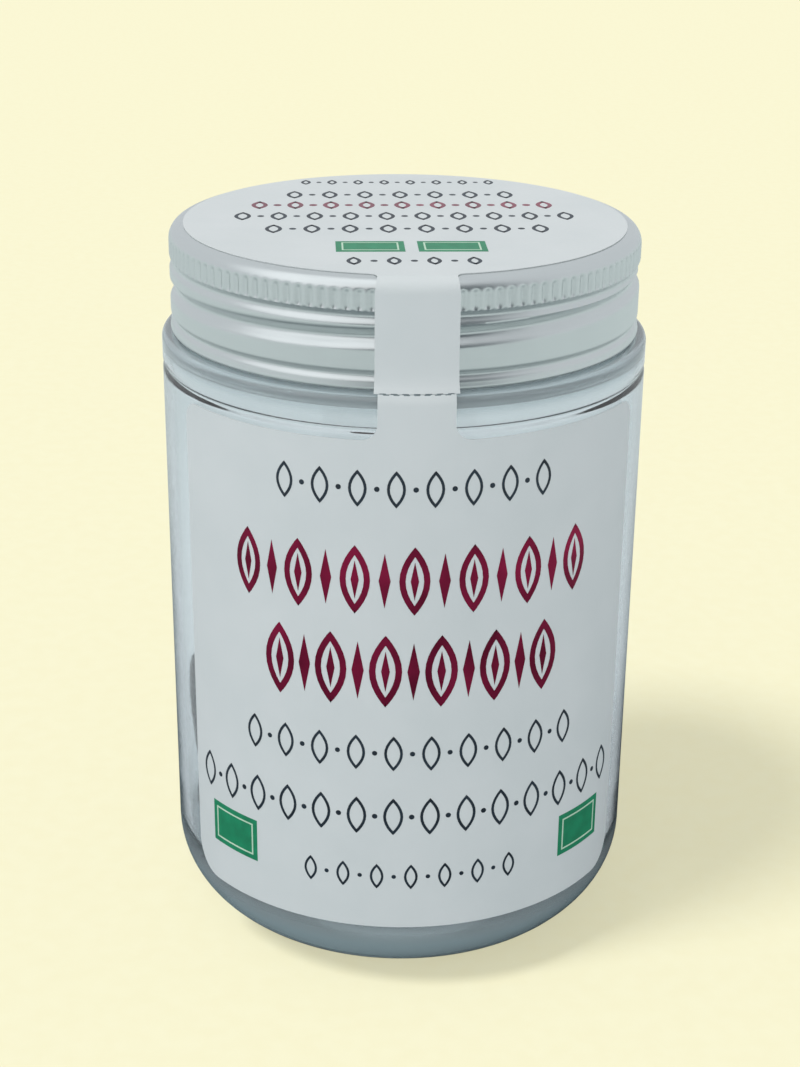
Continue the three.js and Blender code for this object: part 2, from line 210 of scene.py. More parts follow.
class Finish(ABC):
    """A real material: its name, and how it looks."""

    name: str

    @abstractmethod
    def values(self, nodes: Nodes) -> dict[str, object]:
        """The values and links of the Principled shader, by socket name."""

    def shader(self, nodes: Nodes) -> Node:
        """The Principled shader with its values."""
        return nodes.add("ShaderNodeBsdfPrincipled", self.values(nodes))

    def material(self) -> bpy.types.Material:
        """Makes the material.

        Returns:
            The new material.
        """
        material, nodes = blank(self.name)
        nodes.show(self.shader(nodes))
        return material


@dataclass(frozen=True)
class ClearPet(Finish):
    """Injection-blown PET: clear and glossy, a little wavy and dusted with fine scratches."""

    name: str = "clear PET"
    tint: str = "#fcfefe"
    haze: str = "#bccdd0"
    shoulder_haze: str = "#d2dddf"
    ior: float = 1.57
    clear: float = 0.985
    base_clear: float = 0.52
    shoulder_clear: float = 0.68
    base_mm: Point = (6.5, 12)
    shoulder_mm: Point = (78.2, 79.6)
    tall_mm: float = 95
    wave_mm: float = 14
    scratch_mm: float = 0.7

    def values(self, nodes: Nodes) -> dict[str, object]:
        """The plastic, greyer where the base and the shoulder are thick.

        Args:
            nodes: the material's nodes.

        Returns:
            The shader's values by socket name.
        """
        height = nodes.add("ShaderNodeSeparateXYZ", {0: nodes.place}).outputs["Z"]
        share = nodes.add("ShaderNodeMapRange", {"Value": height, "From Max": self.tall_mm * MM}).outputs[0]
        low, high, under, over = (z / self.tall_mm for z in (*self.base_mm, *self.shoulder_mm))
        clear = {low: self.base_clear, high: self.clear, under: self.clear, over: self.shoulder_clear}
        tone = {low: self.haze, high: self.tint, under: self.tint, over: self.shoulder_haze}
        return {
            "Base Color": nodes.ramp(share, tone),
            "Roughness": nodes.ramp(nodes.cloud(self.scratch_mm, 4), {0.45: 0.025, 0.75: 0.09}),
            "IOR": self.ior,
            "Transmission Weight": nodes.ramp(share, clear),
            "Normal": nodes.relief(nodes.cloud(self.wave_mm, 1), 0.25, 0.05),
        }

    def shader(self, nodes: Nodes) -> Node:
        """Lets lamps shine through the plastic, so that what the jar holds is lit.

        Args:
            nodes: the material's nodes.

        Returns:
            The mixed shader.
        """
        through = nodes.add("ShaderNodeBsdfTransparent", {"Color": linear(self.tint)})
        shadow = nodes.add("ShaderNodeLightPath").outputs["Is Shadow Ray"]
        return nodes.either(shadow, super().shader(nodes), through)


@dataclass(frozen=True)
class SatinAluminium(Finish):
    """Rolled aluminium sheet, satin lacquered: bright and soft, with a fine turned grain around it."""

    name: str = "satin aluminium"
    colour: str = "#dde2e2"
    grain_mm: float = 0.25
    grain_stretch: float = 0.04
    cloud_mm: float = 6

    def values(self, nodes: Nodes) -> dict[str, object]:
        """The metal, whose grain is stretched along the turning direction.

        Args:
            nodes: the material's nodes.

        Returns:
            The shader's values by socket name.
        """
        scale = (self.grain_stretch, self.grain_stretch, 1)
        stretched = nodes.add("ShaderNodeMapping", {"Vector": nodes.place, "Scale": scale}).outputs[0]
        grain = nodes.cloud(self.grain_mm, 3, place=stretched)
        both = nodes.maths("ADD", grain, nodes.cloud(self.cloud_mm, 3))
        return {
            "Base Color": linear(self.colour),
            "Metallic": 1.0,
            "Roughness": nodes.ramp(nodes.maths("MULTIPLY", both, 0.5), {0.35: 0.3, 0.65: 0.4}),
            "Normal": nodes.relief(grain, 0.12, 0.01),
        }


@dataclass(frozen=True)
class LabelPaper(Finish):
    """Coated label paper: white and smooth, with a faint fibre grain under the coat."""

    name: str = "label paper"
    colour: str = "#dce0df"
    shade: str = "#d7dcdb"
    fibre_mm: float = 0.35
    cloud_mm: float = 9

    def values(self, nodes: Nodes) -> dict[str, object]:
        """The paper, a shade darker in wide clouds and rougher in the fibre."""
        fibre = nodes.cloud(self.fibre_mm, 5)
        return {
            "Base Color": nodes.ramp(nodes.cloud(self.cloud_mm, 2), {0.3: self.shade, 0.7: self.colour}),
            "Roughness": nodes.ramp(fibre, {0.3: 0.42, 0.7: 0.55}),
            "Normal": nodes.relief(fibre, 0.3, 0.02),
        }


@dataclass(frozen=True)
class Ink(Finish):
    """A printed layer: matt ink, or hot-stamped metal foil."""

    name: str
    light: str
    dark: str
    metallic: float = 0.0
    roughness: float = 0.5
    patch_mm: float = 2.0
    speck_mm: float = 0.3

    def values(self, nodes: Nodes) -> dict[str, object]:
        """The layer, with the small unevenness of a print."""
        return {
            "Base Color": nodes.ramp(nodes.cloud(self.patch_mm, 3), {0.3: self.dark, 0.7: self.light}),
            "Metallic": self.metallic,
            "Roughness": self.roughness,
            "Normal": nodes.relief(nodes.cloud(self.speck_mm, 2), 0.2, 0.01),
        }


@dataclass(frozen=True)
class BeanSkin(Finish):
    """The dried skin of a tonka bean: near black, leathery and faintly frosted, painted browner on the ridges
    and blacker in the furrows as painted shade.
    """

    name: str = "tonka bean skin"
    ridge: str = "#2c2019"
    slope: str = "#1b130f"
    furrow_shade: str = "#080605"
    frost: str = "#574c44"
    grit_mm: float = 0.9
    cell_mm: float = 0.6

    def values(self, nodes: Nodes) -> dict[str, object]:
        """The skin, painted darker the deeper each point lies in the wrinkles, as painted shade in the
        furrows.

        Args:
            nodes: the material's nodes.

        Returns:
            The shader's values by socket name.
        """
        depth = nodes.add("ShaderNodeAttribute", attribute_name="furrow_shade").outputs["Fac"]
        # painted shade: brown on the ridges, near black at the bottom of the wrinkles
        tone = nodes.ramp(depth, {0.1: self.ridge, 0.55: self.slope, 1.0: self.furrow_shade})
        grit = nodes.cloud(self.grit_mm, 6, rough=0.65)
        dusty = nodes.ramp(grit, {0.62: 0.0, 0.78: 0.35})
        fine = nodes.cells(self.cell_mm, "DISTANCE_TO_EDGE")
        return {
            "Base Color": nodes.blend(dusty, tone, linear(self.frost)),
            "Roughness": nodes.ramp(grit, {0.3: 0.38, 0.7: 0.62}),
            "Normal": nodes.relief(nodes.maths("ADD", fine, grit), 0.5, 0.08),
        }


@dataclass(frozen=True)
class LinerFoam(Finish):
    """Expanded polyethylene sheet: white, matt, with a skin of tiny closed cells."""

    name: str = "white foam"
    colour: str = "#eeeeea"
    shade: str = "#dcdcd6"
    cell_mm: float = 0.5

    def values(self, nodes: Nodes) -> dict[str, object]:
        """The foam with its cells as a low bump."""
        cells = nodes.cells(self.cell_mm)
        return {
            "Base Color": nodes.ramp(cells, {0.0: self.colour, 0.8: self.shade}),
            "Roughness": 0.8,
            "Normal": nodes.relief(cells, 0.4, 0.05),
        }


def arc(centre: Point, size: float, start: float, end: float, steps: int) -> list[Point]:
    """Points along an arc in the (radius, z) plane or on a flat sheet.

    Args:
        centre: the arc's centre.
        size: its radius.
        start: the first angle in degrees, 0 along the first axis.
        end: the last angle in degrees.
        steps: the number of pieces between them.

    Returns:
        The points from start to end.
    """
    angles = [math.radians(start + (end - start) * i / steps) for i in range(steps + 1)]
    return [(centre[0] + size * math.cos(a), centre[1] + size * math.sin(a)) for a in angles]


def spread(low: float, high: float, step: float) -> list[float]:
    """Even values from low to high, no further apart than step."""
    count = max(1, math.ceil(abs(high - low) / step))
    return [low + (high - low) * i / count for i in range(count + 1)]


def bump_shape(distance: float, half: float) -> float:
    """A smooth bump of height 1 that ends at half its width from the middle."""
    return math.cos(min(1.0, abs(distance) / half) * math.pi / 2) ** 2


def span(values: Iterable[float]) -> Point:
    """The middle and the half length of the range that some values cover."""
    ordered = sorted(values)
    return (ordered[-1] + ordered[0]) / 2, (ordered[-1] - ordered[0]) / 2


def front_angle(point: Vector) -> float:
    """The angle in degrees of a point about the jar's axis, from the front (-Y) towards +X."""
    return math.degrees(math.atan2(point.x, -point.y))


def polar(radius: float, degrees: float, z: float) -> Vector:
    """A point at a radius, an angle from the front and a height."""
    angle = math.radians(degrees)
    return Vector((radius * math.sin(angle), -radius * math.cos(angle), z))


def spun(profile: list[Point], steps: int) -> Mesh:
    """Spins a profile in the (radius, z) plane all round the jar's axis.

    Args:
        profile: the points in order. It closes on itself, or starts and ends on the axis.
        steps: the number of steps in the full turn.

    Returns:
        The closed mesh, in millimetres, with its faces pointing outwards.
    """
    mesh = bmesh.new()
    verts = [mesh.verts.new((radius, 0, z)) for radius, z in profile]
    edges = [mesh.edges.new(pair) for pair in zip(verts, verts[1:])]
    on_axis = profile[0][0] < 1e-6
    if not on_axis:
        edges.append(mesh.edges.new((verts[-1], verts[0])))
    bmesh.ops.spin(
        mesh,
        geom=verts + edges,
        cent=(0, 0, 0),
        axis=(0, 0, 1),
        angle=math.tau,
        steps=steps,
        use_merge=True,
    )
    bmesh.ops.remove_doubles(mesh, verts=mesh.verts, dist=1e-4)
    bmesh.ops.recalc_face_normals(mesh, faces=mesh.faces)
    return mesh


def flat_sheet(outline: list[Point], spacing: float) -> Mesh:
    """A flat sheet with an outline, cut in columns so that it can bend.

    Args:
        outline: the corners in order, in millimetres on the sheet.
        spacing: the width of the columns.

    Returns:
        The sheet in the XY plane, facing +Z.
    """
    mesh = bmesh.new()
    face = mesh.faces.new([mesh.verts.new((u, v, 0)) for u, v in outline])
    face.normal_update()
    if face.normal.z < 0:
        face.normal_flip()
    cut(mesh, 0, spacing)
    return mesh


def cut(mesh: Mesh, axis: int, spacing: float, extra: Iterable[float] = ()) -> None:
    """Cuts a flat mesh along even lines across one axis.

    Args:
        mesh: the mesh.
        axis: 0 for lines at even u, 1 for lines at even v.
        spacing: the distance between the lines, or 0 for none.
        extra: more places to cut at.
    """
    values = [v.co[axis] for v in mesh.verts]
    places = list(extra)
    if spacing:
        first, last = math.ceil(min(values) / spacing), math.floor(max(values) / spacing)
        places += [i * spacing for i in range(first, last + 1)]
    normal = Vector((axis == 0, axis == 1, 0))
    for place in places:
        geometry = mesh.verts[:] + mesh.edges[:] + mesh.faces[:]
        bmesh.ops.bisect_plane(mesh, geom=geometry, plane_co=normal * place, plane_no=normal)


def bend(mesh: Mesh, place: Place, low: float, high: float) -> None:
    """Gives a flat sheet its thickness and moves each point to its place.

    Args:
        mesh: the flat sheet, facing +Z.
        place: the formula from a flat point and its height above the label's face to its place.
        low: the height of the sheet's back.
        high: the height of its face.
    """
    back = bmesh.ops.extrude_face_region(mesh, geom=mesh.faces[:], use_keep_orig=True)
    copied = [v for v in back["geom"] if isinstance(v, bmesh.types.BMVert)]
    for vert in copied:
        vert.co.z = 1.0
    for vert in mesh.verts:
        vert.co = place(vert.co, high if vert.co.z > 0.5 else low)
    bmesh.ops.recalc_face_normals(mesh, faces=mesh.faces)


def finished(
    name: str,
    mesh: Mesh,
    material: bpy.types.Material,
    body: Body,
    replaces: Iterable[str] = (),
    sharp: float = 40,
) -> Piece:
    """Turns a mesh in millimetres into a dressed piece that rides on a body.

    Args:
        name: the piece's name.
        mesh: its mesh, which is freed.
        material: its finish.
        body: the body that it moves with.
        replaces: the CAD nodes that it stands for.
        sharp: edges that turn by more than this many degrees stay sharp.

    Returns:
        The piece's object, which sits at the origin.
    """
    bmesh.ops.transform(mesh, matrix=Matrix.Scale(MM, 4), verts=mesh.verts)
    data = bpy.data.meshes.new(name)
    mesh.to_mesh(data)
    mesh.free()
    data.polygons.foreach_set("use_smooth", [True] * len(data.polygons))
    data.set_sharp_from_angle(angle=math.radians(sharp))
    data.materials.append(material)
    piece = bpy.data.objects.new(name, data)
    bpy.context.scene.collection.objects.link(piece)
    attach(piece, body.value)
    nodes = list(replaces)
    if nodes:
        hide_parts(*nodes)
    log.info("%s: %d faces on %s", name, len(data.polygons), body.value)
    return piece


@dataclass(frozen=True)
class Thread:
    """A right-handed helical form that the neck and the cap share."""

    pitch: float
    centre_z: float
    height: float
    half: float
    first: float
    last: float
    fade: float = 25

    def at(self, degrees: float, z: float) -> float:
        """How far the form stands out.

        Args:
            degrees: the angle from the front.
            z: the height.

        Returns:
            The height of the form there, 0 away from it.
        """
        most = 0.0
        for turn in range(-2, 3):
            along = degrees + 360 * turn
            ends = min(along - self.first, self.last - along) / self.fade
            height = self.height * min(1.0, max(0.0, ends))
            off = z - self.centre_z - self.pitch * along / 360
            most = max(most, height * bump_shape(off, self.half))
        return most


@dataclass
class Jar:
    """The clear body: a rounded base, a straight wall, a short shoulder and a threaded neck."""

    radius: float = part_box("jar")[1].x / MM
    lip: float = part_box("jar")[1].z / MM
    wall: float = 1.2
    fillet: float = 11
    floor: float = 2
    foot: float = 3
    push_up: float = 0.9
    shoulder: float = 81
    shoulder_round: float = 0.8
    ring: tuple[float, float, float] = (76.95, 0.28, 0.65)
    neck: float = 27.9
    bore: float = 25.9
    thread: Thread = Thread(THREAD_PITCH, THREAD_Z + THREAD_PITCH / 2, 0.7, 0.9, -440, 62)
    steps: int = 160

    def wall_face(self) -> list[Point]:
        """Draws the straight wall's outer face, with the moulded ring groove above the label.

        Returns:
            The points upwards.
        """
        at, depth, half = self.ring
        rows = [
            *spread(self.fillet, at - half - 0.2, 6)[1:],
            *spread(at - half, at + half, 0.13),
            *spread(at + half + 0.4, self.shoulder - self.shoulder_round - 0.4, 0.8),
        ]
        return [(self.radius - depth * bump_shape(z - at, half), z) for z in rows]

    def outside(self) -> list[Point]:
        """Draws the outer profile.

        Returns:
            The points from the middle of the base to the neck's root.
        """
        foot_out = self.radius - self.fillet
        foot_in = foot_out - self.foot
        edge = self.shoulder_round
        return [
            (0, self.push_up),
            (foot_in - 3 * self.push_up, self.push_up),
            *arc((foot_in - 3 * self.push_up, self.push_up - 1.2), 1.2, 80, 45, 3),
            (foot_in - 0.3, 0.12),
            (foot_in, 0),
            *arc((foot_out, self.fillet), self.fillet, -90, 0, 20),
            *self.wall_face(),
            *arc((self.radius - edge, self.shoulder - edge), edge, 0, 90, 10),
            (self.neck + 1.0, self.shoulder),
            *arc((self.neck + 0.6, self.shoulder + 0.6), 0.6, -90, -180, 4),
        ]

    def inside(self) -> list[Point]:
        """Draws the inner profile.

        Returns:
            The points from the lip to the middle of the floor.
        """
        inner = self.radius - self.wall
        under = self.shoulder - 1.15
        size = self.fillet - self.wall + 1
        return [
            *arc((self.neck - 0.7, self.lip - 0.7), 0.7, 0, 90, 4),
            *arc((self.bore + 0.5, self.lip - 0.5), 0.5, 90, 180, 4),
            (self.bore, self.shoulder + 0.8),
            *arc((self.bore + 1.3, self.shoulder + 0.7), 1.3, 190, 250, 5),
            *arc((inner - 1.0, under - 1.0), 1.0, 90, 0, 8),
            *[(inner, z) for z in spread(under - 1.6, self.floor + size, 6)],
            *arc((inner - size, self.floor + size), size, 0, -90, 18)[1:],
            (self.radius * 0.4, self.floor),
            (0, self.floor + 0.5),
        ]

    def build(self) -> Piece:
        """Spins the walls, raises the thread on the neck and dresses the jar.

        Returns:
            The jar's object.
        """
        rows = spread(self.shoulder + 0.8, self.lip - 0.9, 0.35)
        mesh = spun([*self.outside(), *[(self.neck, z) for z in rows], *self.inside()], self.steps)
        for vert in mesh.verts:
            if rows[0] <= vert.co.z <= rows[-1] and abs(vert.co.xy.length - self.neck) < 1e-3:
                out = self.thread.at(front_angle(vert.co), vert.co.z)
                vert.co.xy *= (self.neck + out) / self.neck
        return finished("jar_body", mesh, ClearPet().material(), Body.JAR, ["jar"])


@dataclass
class Cap:
    """The rolled aluminium cap: flat top, knurled band, rolled thread and curled bottom bead."""

    radius: float = 29.75
    top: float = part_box("cap")[1].z / MM
    edge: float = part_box("cap")[0].z / MM
    sheet: float = 0.5
    corner: float = 1.8
    knurls: int = 127
    knurl_depth: float = 0.32
    knurl_low: float = 90.5
    knurl_high: float = 93.2
    upper_groove: tuple[float, float, float] = (90.0, 0.42, 0.95)
    lower_groove: tuple[float, float, float] = (83.1, 0.4, 0.75)
    thread: Thread = Thread(THREAD_PITCH, THREAD_Z, 0.85, 1.45, -238, 162)
    steps_per_knurl: int = 6

    def profile(self) -> list[Point]:
        """Draws the sheet's section.

        Returns:
            The points from the middle of its underside round the edge to the middle of the top.
        """
        inner = self.radius - self.sheet
        middle = self.radius - self.corner
        low = self.edge + 0.9
        height = self.top - self.corner
        curl = 0.42
        curl_centre = (self.radius - curl + 0.08, self.edge + curl)
        return [
            (0, self.top - self.sheet),
            (middle * 0.5, self.top - self.sheet),
            *arc((middle, height), self.corner - self.sheet, 90, 0, 5),
            *[(inner, z) for z in spread(self.knurl_low, low, 0.5)],
            *arc(curl_centre, curl, 200, 380, 12),
            *[(self.radius, z) for z in spread(low, self.knurl_low - 0.1, 0.22)],
            *[(self.radius, z) for z in spread(self.knurl_low, height, 0.2)],
            *arc((middle, height), self.corner, 0, 90, 14)[1:],
            (middle * 0.5, self.top),
            (0, self.top),
        ]

    def dent(self, degrees: float, z: float) -> float:
        """How far the side is rolled in at an angle and a height."""
        grooves = (self.upper_groove, self.lower_groove)
        rings = [depth * bump_shape(z - at, half) for at, depth, half in grooves]
        return max(*rings, self.thread.at(degrees, z))

    def knurl(self, degrees: float, z: float) -> float:
        """Measures the valley between two knurls.

        Args:
            degrees: the angle from the front.
            z: the height.

        Returns:
            How deep the valley is there.
        """
        ends = min(1.0, (z - self.knurl_low) / 0.7, (self.knurl_high - z) / 0.5)
        if ends <= 0:
            return 0.0
        wave = (1 - math.cos(math.radians(degrees * self.knurls))) / 2
        return self.knurl_depth * math.sin(ends * math.pi / 2) * wave**2

    def build(self) -> Piece:
        """Spins the sheet, rolls the grooves, the thread and the knurls into it and dresses the cap.

        Returns:
            The cap's object.
        """
        mesh = spun(self.profile(), self.knurls * self.steps_per_knurl)
        inner = self.radius - self.sheet
        for vert in mesh.verts:
            radius, z = vert.co.xy.length, vert.co.z
            if z < self.edge + 0.85 or z > self.knurl_high or radius < inner - 0.6:
                continue
            degrees = front_angle(vert.co)
            out = self.dent(degrees, z)
            if radius > inner + 0.1:
                out = max(out, self.knurl(degrees, z))
            vert.co.xy *= (radius - out) / radius
        return finished("cap_shell", mesh, SatinAluminium().material(), Body.CAP, ["cap"])


@dataclass
class Liner:
    """The foam wad that seals the lip."""

    radius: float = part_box("liner")[1].x / MM
    low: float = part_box("liner")[0].z / MM
    high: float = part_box("liner")[1].z / MM
    edge: float = 0.25

    def build(self) -> Piece:
        """Spins the wad, with the ring that the lip has pressed into it.

        Returns:
            The wad's object.
        """
        lip, dent = 26.9, 0.12
        profile = [
            (0, self.low),
            (lip - 1.2, self.low),
            (lip - 0.7, self.low + dent),
            (lip + 0.7, self.low + dent),
            (lip + 1.0, self.low),
            *arc((self.radius - self.edge, self.low + self.edge), self.edge, -90, 0, 4),
            *arc((self.radius - self.edge, self.high - self.edge), self.edge, 0, 90, 4),
            (0, self.high),
        ]
        mesh = spun(profile, 128)
        return finished("liner_wad", mesh, LinerFoam().material(), Body.LINER, ["liner"])


class Motif(Enum):
    """The plain ornaments that the print is made of."""

    POD = "an upright almond outline with a slim lozenge in it"
    SLIM = "a slim solid lozenge"
    DROP = "a small almond outline"
    DOT = "a dot"


@dataclass(frozen=True)
class Row:
    """A row of ornaments in one ink, centred on the sheet's middle line."""

    ink: str
    v: float
    height: float
    width: float
    motifs: tuple[Motif, ...]
    count: int
    stroke: float


def stamp(mesh: Mesh, motif: Motif, u: float, v: float, height: float, stroke: float) -> None:
    """Adds one flat ornament to a print.

    Args:
        mesh: the flat print.
        motif: which ornament.
        u: its middle across the sheet.
        v: its middle up the sheet.
        height: the row's height.
        stroke: the width of its lines.
    """
    half = height / 2
    sizes = {
        Motif.POD: (height * 0.21, half),
        Motif.SLIM: (stroke * 0.95, half * 0.8),
        Motif.DROP: (height * 0.24, half),
        Motif.DOT: (stroke * 0.95, stroke * 0.95),
    }
    wide, tall = sizes[motif]
    hollow = motif in (Motif.POD, Motif.DROP)
    made = bmesh.ops.create_circle(mesh, cap_ends=True, radius=1, segments=4 if motif is Motif.SLIM else 28)
    verts = made["verts"]
    for vert in verts:
        x, y = vert.co.x, vert.co.y
        if hollow:
            x *= abs(x)
        vert.co = (u + wide * x, v + tall * y, 0)
    if not hollow:
        return
    face = verts[0].link_faces[0]
    bmesh.ops.inset_individual(mesh, faces=[face], thickness=stroke, use_even_offset=False)
    bmesh.ops.delete(mesh, geom=[face], context="FACES_ONLY")
    if motif is Motif.POD:
        stamp(mesh, Motif.SLIM, u, v, height * 0.7, stroke * 0.7)


def rectangle(mesh: Mesh, u: float, v: float, width: float, height: float) -> bmesh.types.BMFace:
    """Adds a flat rectangle to a print.

    Args:
        mesh: the flat print.
        u: its middle across the sheet.
        v: its middle up the sheet.
        width: its width.
        height: its height.

    Returns:
        Its face.
    """
    made = bmesh.ops.create_grid(mesh, x_segments=1, y_segments=1, size=0.5)
    for vert in made["verts"]:
        vert.co = (u + width * vert.co.x, v + height * vert.co.y, 0)
    return made["verts"][0].link_faces[0]


def printed(rows: Iterable[Row], patches: Iterable[Patch]) -> dict[str, Mesh]:
    """Draws the rows and patches of a label as flat meshes, one for each ink.

    Args:
        rows: the rows of ornaments.
        patches: green fields as middle u, middle v, width and height.

    Returns:
        The flat mesh of each ink.
    """
    inset, line = 0.7, 0.3
    flats: dict[str, Mesh] = {}
    for row in rows:
        mesh = flats.setdefault(row.ink, bmesh.new())
        for i in range(row.count):
            u = row.width * (i / (row.count - 1) - 0.5)
            stamp(mesh, row.motifs[i % len(row.motifs)], u, row.v, row.height, row.stroke)
    for u, v, width, height in patches:
        rectangle(flats.setdefault("green", bmesh.new()), u, v, width, height)
        mesh = flats.setdefault("pale", bmesh.new())
        face = rectangle(mesh, u, v, width - 2 * inset, height - 2 * inset)
        bmesh.ops.inset_individual(mesh, faces=[face], thickness=line)
        bmesh.ops.delete(mesh, geom=[face], context="FACES_ONLY")
    for mesh in flats.values():
        for face in mesh.faces:
            face.normal_update()
        flipped = [face for face in mesh.faces if face.normal.z < 0]
        bmesh.ops.reverse_faces(mesh, faces=flipped)
    return flats


INKS = {
    "navy": Ink("navy ink", "#22323f", "#141f2a", roughness=0.45),
    "foil": Ink("burgundy foil", "#a3204a", "#6d1230", metallic=0.85, roughness=0.3, patch_mm=7),
    "green": Ink("green ink", "#0b9163", "#077f55", roughness=0.45),
    "pale": Ink("pale ink", "#cfe6cf", "#bcdcc0", roughness=0.5),
}


@dataclass
class Label(ABC):
    """What both labels share: paper a tenth of a millimetre thick with a raised print on it."""

    paper: float = 0.1
    column: float = 1.5
    print_layer: float = 0.02
    print_column: float = 1.0
    pale_layers: float = 2.4
    strip: float = 4.55
    perforation: float = 81.3
    tie: float = 0.45
    slit: float = 0.75
    slit_height: float = 0.09

    @abstractmethod
    def outline(self) -> list[Point]:
        """The flat outline."""

    @abstractmethod
    def rows(self) -> list[Row]:
        """The rows of ornaments."""

    @abstractmethod
    def place(self, point: Vector, lift: float) -> Vector:
        """Where a flat point lies, at a height above the paper's face."""

    def torn_edge(self, v: float, inwards: float) -> list[Point]:
        """The perforated end of the strip, from its right side to its left.

        Args:
            v: where the ties end.
            inwards: +1 or -1, the direction from the edge into the paper.

        Returns:
            The outline's points, with a notch for each slit.
        """
        points = [(self.strip, v)]
        count = int((2 * self.strip - self.tie) // (self.tie + self.slit))
        start = count * (self.tie + self.slit) / 2 - self.tie / 2
        deep = v + inwards * self.slit_height
        for i in range(count):
            right = start - i * (self.tie + self.slit)
            left = right - self.slit
            points += [(right, v), (right - 0.05, deep), (left + 0.05, deep), (left, v)]
        return [*points, (-self.strip, v)]

    def lay(self, name: str, body: Body, cuts: list[float], patches: Iterable[Patch]) -> None:
        """Makes the paper and its print, and bends them into place.

        Args:
            name: the start of the names of the pieces and of the label's node.
            body: the body that the label rides on.
            cuts: where the sheet is cut across, so that it can bend.
            patches: the green fields as middle u, middle v, width and height.
        """
        sheet = flat_sheet(self.outline(), self.column)
        cut(sheet, 1, 0, cuts)
        bend(sheet, self.place, -self.paper, 0)
        finished(f"{name}_paper", sheet, LabelPaper().material(), body, [f"{name}_label"])
        for ink, mesh in printed(self.rows(), patches).items():
            height = self.print_layer * (self.pale_layers if ink == "pale" else 1.0)
            cut(mesh, 0, self.print_column)
            bend(mesh, self.place, -0.5 * self.print_layer, height)
            finished(f"{name}_print_{ink}", mesh, INKS[ink].material(), body, sharp=60)


@dataclass
class FrontLabel(Label):
    """The label on the jar's wall and its tongue, which leans in over the shoulder to the perforation."""

    jar: Jar = field(default_factory=Jar)
    half_angle: float = 61.5
    low: float = 10.1
    high: float = 75.8
    fillet: float = 2

    @property
    def radius(self) -> float:
        """The radius of the paper's outer face."""
        return self.jar.radius + LABEL_GAP + self.paper

    def outline(self) -> list[Point]:
        """Draws the flat outline: rounded corners and concave roots beside the tongue.

        Returns:
            The points in order.
        """
        half = self.radius * math.radians(self.half_angle)
        low, top = 4.5, 2.5
        root = self.strip + self.fillet
        right = [
            *arc((half - low, self.low + low), low, -90, 0, 10),
            *arc((half - top, self.high - top), top, 0, 90, 8),
            *arc((root, self.high + self.fillet), self.fillet, -90, -180, 8),
        ]
        left = [(-u, v) for u, v in reversed(right)]
        return [*right, *self.torn_edge(self.perforation, -1), *left]

    def place(self, point: Vector, lift: float) -> Vector:
        """Where a flat point lies on the jar.

        Args:
            point: the flat point.
            lift: how far above the paper's face it lies.

        Returns:
            The point on the wall, or on the lean over the shoulder.
        """
        fold = self.jar.shoulder - self.jar.shoulder_round
        lean = max(0.0, point.y - fold)
        radius = self.radius + lift - 0.24 * lean**1.6
        return polar(radius, math.degrees(point.x / self.radius), point.y)

    def rows(self) -> list[Row]:
        """Lists the rows of ornaments.

        Returns:
            The rows, from the top of the label down.
        """
        pods = (Motif.POD, Motif.SLIM)
        fine = (Motif.DROP, Motif.DOT)
        return [
            Row("navy", 69.9, 4.6, 32, fine, 15, 0.34),
            Row("foil", 58.3, 8.8, 43, pods, 13, 0.75),
            Row("foil", 46.4, 9.6, 34, pods, 11, 0.8),
            Row("navy", 35.2, 4.8, 42, fine, 19, 0.34),
            Row("navy", 26.3, 5.2, 60, fine, 27, 0.36),
            Row("navy", 17.6, 3.6, 26, fine, 13, 0.3),
        ]

    def build(self) -> None:
        """Makes the paper and its print."""
        patches = [(side * 25.2, 19.0, 8.3, 6.0) for side in (-1, 1)]
        self.lay("front", Body.JAR, spread(78.5, 81, 0.3), patches)


